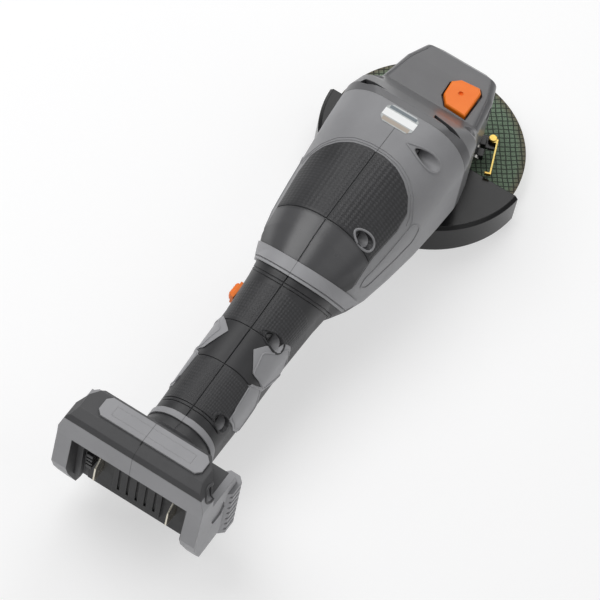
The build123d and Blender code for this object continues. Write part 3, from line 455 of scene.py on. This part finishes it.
def discFinish(name, look):
    material, tree, shader = startMaterial(name)
    coords = place(tree)
    x, y, z = axes(tree, coords)
    edges, soft = edgeMask(tree, look["bevel"] * mm)
    mesh = glassMesh(tree, coords, x, y, look)
    grit = grain(tree, coords, *look["grit"])
    speckle = ramp(tree, grit, *look["gritRange"], 0.0, 1.0)
    colour = mottled(tree, speckle, look["resin"], *look["shades"])
    squares = calc(tree, "ADD", calc(tree, "MULTIPLY", x, x), calc(tree, "MULTIPLY", y, y))
    rimAmount = ramp(tree, calc(tree, "SQRT", squares), *look["rimRange"])
    colour = mixColour(tree, rimAmount, colour, rgb(look["rim"]))
    colour = mixColour(tree, calc(tree, "MULTIPLY", mesh, look["weaveAmount"]), colour, rgb(look["weave"]))
    tree.links.new(colour, shader.inputs["Base Color"])
    shine = calc(tree, "MULTIPLY_ADD", speckle, look["shineChange"], look["rough"])
    tree.links.new(shine, shader.inputs["Roughness"])
    height = calc(tree, "MULTIPLY_ADD", mesh, look["weaveHeight"], grit)
    addBump(tree, shader, height, look["bumpStrength"], look["bump"] * mm, soft)
    return material


labelLook = {
    "foil": (0.42, 0.44, 0.44),
    "shades": (0.8, 1.3),
    "white": (0.86, 0.87, 0.87),
    "dark": (0.10, 0.13, 0.15),
    "rust": (0.36, 0.30, 0.24),
    "whiteBand": (-58.4, -53.2, 0.2),    # from x to x, and the fade, mm
    "darkBand": (-52.4, -50.0, 0.2),
    "rustBand": (-62.2, -59.2, 0.2),
    "inner": (-8.2, 10.2, 0.25),         # from y to y, and the fade, mm
    "shimmer": (60.0, 3.0, 0.5),
    "rough": 0.16,
    "shineChange": 0.2,
    "coat": 0.4,
    "bumpStrength": 0.15,
    "bump": 0.2,                         # mm
}


def labelFinish(name, look):
    material, tree, shader = startMaterial(name)
    coords = place(tree)
    x, y, z = axes(tree, coords)
    shimmer = grain(tree, coords, *look["shimmer"])
    inner = band(tree, y, *look["inner"])
    colour = mottled(tree, ramp(tree, shimmer, *patchRange), look["foil"], *look["shades"])
    for key, width in (("white", 1.0), ("dark", inner), ("rust", inner)):
        stripe = calc(tree, "MULTIPLY", band(tree, x, *look[key + "Band"]), width)
        colour = mixColour(tree, stripe, colour, rgb(look[key]))
    tree.links.new(colour, shader.inputs["Base Color"])
    shine = calc(tree, "MULTIPLY_ADD", shimmer, look["shineChange"], look["rough"])
    tree.links.new(shine, shader.inputs["Roughness"])
    shader.inputs["Coat Weight"].default_value = look["coat"]
    flat = addNode(tree, "ShaderNodeNewGeometry").outputs["Normal"]
    addBump(tree, shader, shimmer, look["bumpStrength"], look["bump"] * mm, flat)
    return material


orangeLook = {
    "colour": (1.0, 0.215, 0.003),
    "deep": (0.90, 0.150, 0.002),
    # edge: colour of the painted highlight on edges
    "edge": (1.0, 0.46, 0.12),
    "edgeHighlightAmount": 0.6,
    "rough": 0.34,
    "shineChange": 0.16,
    "cloud": (60.0, 4.0, 0.6),
    "cloudRange": (0.35, 0.75, 0.0, 0.5),
    "fine": (2200.0, 2.0, 0.5),
    "bevel": 0.6,                        # mm
    "bumpStrength": 0.12,
    "bump": 0.12,                        # mm
}


def orangeFinish(name, look):
    material, tree, shader = startMaterial(name)
    coords = place(tree)
    edges, soft = edgeMask(tree, look["bevel"] * mm)
    cloud = grain(tree, coords, *look["cloud"])
    fine = grain(tree, coords, *look["fine"])
    patches = ramp(tree, cloud, *look["cloudRange"])
    colour = mixColour(tree, patches, rgb(look["colour"]), rgb(look["deep"]))
    # edges painted paler: a painted highlight
    edgeHighlight = calc(tree, "MULTIPLY", edges, look["edgeHighlightAmount"])
    colour = mixColour(tree, edgeHighlight, colour, rgb(look["edge"]))
    tree.links.new(colour, shader.inputs["Base Color"])
    shine = calc(tree, "MULTIPLY_ADD", cloud, look["shineChange"], look["rough"])
    tree.links.new(shine, shader.inputs["Roughness"])
    addBump(tree, shader, fine, look["bumpStrength"], look["bump"] * mm, soft)
    return material


boardLook = {
    "colour": (0.02, 0.13, 0.05),
    "track": (0.10, 0.28, 0.10),
    "cells": 420.0,
    "trackRange": (0.03, 0.08),
    "rough": 0.35,
    "bumpStrength": 0.3,
    "bump": 0.05,                        # mm
}


def boardFinish(name, look):
    material, tree, shader = startMaterial(name)
    settings = {"feature": "DISTANCE_TO_EDGE"}
    cells = addNode(tree, "ShaderNodeTexVoronoi", settings, Vector=place(tree), Scale=look["cells"])
    tracks = ramp(tree, cells.outputs["Distance"], *look["trackRange"], 1.0, 0.0)
    colour = mixColour(tree, tracks, rgb(look["colour"]), rgb(look["track"]))
    tree.links.new(colour, shader.inputs["Base Color"])
    shader.inputs["Roughness"].default_value = look["rough"]
    flat = addNode(tree, "ShaderNodeNewGeometry").outputs["Normal"]
    addBump(tree, shader, tracks, look["bumpStrength"], look["bump"] * mm, flat)
    return material


finishes = {}
for slotName, look in mouldedPlastics.items():
    finishes[slotName] = plasticFinish(slotName, look, plasticTexture)
for slotName, look in metalLooks.items():
    finishes[slotName] = metalFinish(slotName, look, metalTexture)
for slotName, look in paintLooks.items():
    finishes[slotName] = paintFinish(slotName, look, paintTexture)
finishes["soft_rubber"] = rubberFinish("soft_rubber", rubberLook)
finishes["abrasive_resin"] = discFinish("abrasive_resin", discLook)
finishes["label_foil"] = labelFinish("label_foil", labelLook)
finishes["orange_plastic"] = orangeFinish("orange_plastic", orangeLook)
finishes["circuit_board"] = boardFinish("circuit_board", boardLook)

for part in frame["record"]["subparts"]:
    for materialSlot in nodes[part["node"]].material_slots:
        materialSlot.material = finishes[part["material_slot"]]
print("finishes made:", len(finishes))


# small raised details, laid on the surfaces of the CAD pieces


def surfaceOf(names):
    build = bmesh.new()
    for name in names:
        build.from_mesh(nodes[name].data)
    tree = BVHTree.FromBMesh(build)
    build.free()
    return tree


def densify(points, step, closed):
    count = len(points) if closed else len(points) - 1
    out = []
    for i in range(count):
        a, b = Vector(points[i]), Vector(points[(i + 1) % len(points)])
        parts = max(1, int((b - a).length / step))
        out += [a.lerp(b, k / parts) for k in range(parts)]
    if not closed:
        out.append(Vector(points[-1]))
    return out


arc = {"steps": 4, "longestShare": 0.45}    # of a rounded corner, and how much of a side it may take


def rounded(points, cut):
    # each corner of a closed outline replaced by a short arc
    out = []
    for i, corner in enumerate(points):
        before, after = points[i - 1], points[(i + 1) % len(points)]
        reachIn = min(cut, (before - corner).length * arc["longestShare"])
        reachOut = min(cut, (after - corner).length * arc["longestShare"])
        first = corner + (before - corner).normalized() * reachIn
        last = corner + (after - corner).normalized() * reachOut
        for k in range(arc["steps"] + 1):
            t = k / arc["steps"]
            out.append(first * (1 - t) ** 2 + corner * 2 * t * (1 - t) + last * t * t)
    return out


cast = {"back": 0.15, "reach": 0.30}    # metres, from where and how far a point looks for the surface


def layOn(surface, path, toward, lift=0.0):
    # path points are pushed along toward until they meet the surface, then lifted off it
    laid = []
    for point in path:
        hit, normal, index, distance = surface.ray_cast(point - toward * cast["back"], toward, cast["reach"])
        if hit is not None:
            laid.append(hit + normal * lift if normal.dot(toward) < 0 else hit - normal * lift)
    return laid


def tidyPath(laid, longest):
    # drops points that fell into a hole or over an edge
    kept = [laid[0]]
    for point in laid[1:]:
        if (point - kept[-1]).length < longest:
            kept.append(point)
    return kept


def bead(name, laid, radius, closed, slotName):
    curve = bpy.data.curves.new(name, "CURVE")
    curve.dimensions = "3D"
    curve.bevel_depth = radius * mm
    curve.bevel_resolution = 3
    curve.use_fill_caps = True
    line = curve.splines.new("POLY")
    line.points.add(len(laid) - 1)
    for spot, point in zip(line.points, laid):
        spot.co = (*point, 1.0)
    line.use_cyclic_u = closed
    line.use_smooth = True
    thing = bpy.data.objects.new(name, curve)
    scene.collection.objects.link(thing)
    curve.materials.append(finishes[slotName])
    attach(thing, "housing")


down = Vector((0, 0, -1))
fromRight = Vector((0, 1, 0))
fromLeft = Vector((0, -1, 0))
shellNames = ["shell_left", "shell_right"]
gripNames = ["grip_left", "grip_right", "grip_plate_left", "grip_plate_right",
             "grip_strip_left", "grip_strip_right"]
footNames = ["foot_panel", "foot_frame", "foot_core_left", "foot_core_right",
             "foot_cheek_left", "foot_cheek_right"]
shells = surfaceOf(shellNames)
rubbers = surfaceOf(shellNames + gripNames + ["motor_pad", "collar_ring"])
headSurface = surfaceOf(["gear_housing"])
footSurface = surfaceOf(footNames)
outside = {"above": 60, "beside": 45, "besideFoot": 60}    # mm, clear of the tool on every side
beadStep = 1.0 * mm                                        # between two points of a bead


def topPath(points):
    # an open line from plan points, in millimetres from the spindle
    return densify([at(x, y, outside["above"]) for x, y in points], beadStep, False)


def sideOutline(outline, corner, sign):
    # a closed outline of x and z, with round corners, on the left (1) or the right (-1)
    flat = rounded([Vector((x, z, 0)) for x, z in outline], corner)
    return densify([at(p.x, sign * outside["beside"], p.y) for p in flat], beadStep, True)


def ringPath(x, z, ring, sides, beside):
    # a circle seen from the right
    turns = [2 * math.pi * k / sides for k in range(sides)]
    return [at(x + ring * math.cos(turn), -beside, z + ring * math.sin(turn)) for turn in turns]


padEdge = {
    "outline": [(-103.0, 36.4), (-98.5, 35.6), (-91.6, 31.0), (-87.0, 24.2), (-83.8, 15.8), (-81.9, 5.0)],
    "second": [(-103.0, 38.2), (-97.8, 37.4), (-90.1, 32.4), (-85.2, 25.2), (-82.0, 16.4), (-80.1, 5.0)],
    "radius": 0.42,
    "longestGap": 4,
}
for number, key in enumerate(("outline", "second")):
    half = padEdge[key]
    laid = layOn(shells, topPath(half + [(x, -y) for x, y in reversed(half)]), down)
    laid = tidyPath(laid, padEdge["longestGap"] * mm)
    bead("padEdgeBead." + str(number), laid, padEdge["radius"], False, "mid_grey_plastic")
print("pad edge beads laid")

badge = {
    "outline": [(-92.0, 57.0), (-98.0, 64.0), (-143.0, 55.5), (-146.0, 50.0), (-141.0, 44.5), (-97.0, 47.0)],
    "radius": 0.55,
    "corner": 3.0,
}
for label, sign, toward in (("left", 1, fromLeft), ("right", -1, fromRight)):
    laid = layOn(shells, sideOutline(badge["outline"], badge["corner"], sign), toward)
    bead("badgeBead." + label, laid, badge["radius"], True, "mid_grey_plastic")
print("badge beads laid")

plateBorders = {
    "plate": [(-222.6, 58.5), (-206.0, 48.6), (-204.4, 33.0), (-212.4, 28.0), (-232.6, 40.2), (-236.0, 55.0)],
    "strip": [(-241.0, 51.6), (-236.0, 44.4), (-237.8, 28.6), (-253.6, 21.4), (-260.0, 33.4), (-262.8, 46.4)],
    "wedge": [(-215.0, 52.0), (-222.8, 57.6), (-235.6, 51.6), (-235.0, 38.0), (-216.0, 36.2)],
    "radius": 0.5,
    "corner": 1.6,
    "longestGap": 6,
}
for label, key, sign, toward in (("right", "plate", -1, fromRight), ("left", "wedge", 1, fromLeft),
                                 ("stripRight", "strip", -1, fromRight), ("stripLeft", "strip", 1, fromLeft)):
    laid = layOn(rubbers, sideOutline(plateBorders[key], plateBorders["corner"], sign), toward)
    laid = tidyPath(laid, plateBorders["longestGap"] * mm)
    bead("gripBorder." + label, laid, plateBorders["radius"], True, "light_grey_plastic")
print("grip borders laid")

wells = {
    "screws": [(-67.5, 84.4), (-132.8, 76.0), (-212.0, 57.4), (-270.0, 47.5)],
    "slots": ["mid_grey_plastic", "mid_grey_plastic", "soft_rubber", "soft_rubber"],
    "ring": 5.0,
    "radius": 0.75,
    "sides": 40,
    "sink": -0.1,
    "longestGap": 7,
}
for number, (x, z) in enumerate(wells["screws"]):
    ring = ringPath(x, z, wells["ring"], wells["sides"], outside["beside"])
    laid = layOn(rubbers, ring, fromRight, wells["sink"] * mm)
    laid = tidyPath(laid, wells["longestGap"] * mm)
    whole = len(laid) == wells["sides"]
    bead("screwWellRim." + str(number), laid, wells["radius"], whole, wells["slots"][number])
print("screw well rims laid")

footWell = {"spot": (-332.5, 86.0), "ring": 5.4, "radius": 0.8, "sides": 40, "longestGap": 8}
ring = ringPath(*footWell["spot"], footWell["ring"], footWell["sides"], outside["besideFoot"])
laid = tidyPath(layOn(footSurface, ring, fromRight), footWell["longestGap"] * mm)
bead("footWellRim", laid, footWell["radius"], False, "dark_grey_plastic")
print("foot well rim laid")

# ridges that run down the head on both sides of the crown
headRidge = {"line": [(22.0, 22.0), (8.0, 27.4), (-12.0, 31.6)], "radius": 0.35, "longestGap": 3}
for label, sign in (("left", 1), ("right", -1)):
    laid = layOn(headSurface, topPath([(x, sign * y) for x, y in headRidge["line"]]), down)
    laid = tidyPath(laid, headRidge["longestGap"] * mm)
    bead("headRidge." + label, laid, headRidge["radius"], False, "dark_paint")
print("head ridges laid")


def outward(heading, lift):
    # a direction from its compass heading and its height above the floor, in degrees
    heading, lift = math.radians(heading), math.radians(lift)
    return Vector((math.cos(heading) * math.cos(lift), math.sin(heading) * math.cos(lift), math.sin(lift)))


cameraSettings = {
    "aim": (-0.0311, -0.0089, 0.0607),
    "distance": 2.0706,
    "heading": -158.81,
    "elevation": 56.575,
    "roll": 13.163,
    "lens": 213.64,
    "sensor": 36,
    "clipEnd": 20,
}


def placeCamera(c):
    back = outward(c["heading"], c["elevation"])
    right = (-back).cross(Vector((0, 0, 1))).normalized()
    up = right.cross(-back)
    roll = math.radians(c["roll"])
    sideways = right * math.cos(roll) + up * math.sin(roll)
    upward = up * math.cos(roll) - right * math.sin(roll)
    lens = bpy.data.cameras.new("camera")
    lens.lens = c["lens"]
    lens.sensor_width = c["sensor"]
    lens.clip_end = c["clipEnd"]
    cam = bpy.data.objects.new("camera", lens)
    cam.matrix_world = Matrix((sideways, upward, back)).transposed().to_4x4()
    cam.location = Vector(c["aim"]) + back * c["distance"]
    scene.collection.objects.link(cam)
    scene.camera = cam


studio = {
    "floorSize": 8.0,
    "floorSquares": 8,
    "floorColour": (0.52, 0.52, 0.523),
    "floorShades": (0.995, 1.005),
    "floorGrain": (900.0, 2.0, 0.5),
    "floorRough": 0.9,
    "floorGlow": 0.52,
    "worldStrength": 0.27,
    "lights": [
        {"name": "key", "heading": 105, "lift": 62, "distance": 1.3, "size": 0.9, "power": 8.6},
        {"name": "fill", "heading": -85, "lift": 45, "distance": 1.5, "size": 1.2, "power": 2.6},
        {"name": "front", "heading": 15, "lift": 40, "distance": 1.3, "size": 0.8, "power": 4.2},
    ],
}
white = (1, 1, 1, 1)


def layFloor(s):
    build = bmesh.new()
    squares = s["floorSquares"]
    bmesh.ops.create_grid(build, x_segments=squares, y_segments=squares, size=s["floorSize"] / 2)
    mesh = bpy.data.meshes.new("floor")
    build.to_mesh(mesh)
    build.free()
    floor = bpy.data.objects.new("floor", mesh)
    scene.collection.objects.link(floor)
    material, tree, shader = startMaterial("floorPaper")
    paper = grain(tree, place(tree), *s["floorGrain"])
    colour = mottled(tree, paper, s["floorColour"], *s["floorShades"])
    tree.links.new(colour, shader.inputs["Base Color"])
    shader.inputs["Roughness"].default_value = s["floorRough"]
    shader.inputs["Emission Color"].default_value = white
    shader.inputs["Emission Strength"].default_value = s["floorGlow"]
    mesh.materials.append(material)


def hangLights(s):
    world = bpy.data.worlds.new("studio")
    scene.world = world
    world.use_nodes = True
    sky = world.node_tree.nodes["Background"]
    sky.inputs["Color"].default_value = white
    sky.inputs["Strength"].default_value = s["worldStrength"]
    middle = Vector([(low + high) / 2 for low, high in zip(*cadBox)])
    for light in s["lights"]:
        out = outward(light["heading"], light["lift"])
        lamp = bpy.data.lights.new(light["name"], "AREA")
        lamp.energy = light["power"]
        lamp.size = light["size"]
        hung = bpy.data.objects.new(light["name"], lamp)
        hung.location = middle + out * light["distance"]
        hung.rotation_euler = out.to_track_quat("Z", "Y").to_euler()
        scene.collection.objects.link(hung)


placeCamera(cameraSettings)
layFloor(studio)
hangLights(studio)
scene.view_settings.view_transform = "Standard"
print("camera, floor and lights placed")

bpy.context.view_layer.update()
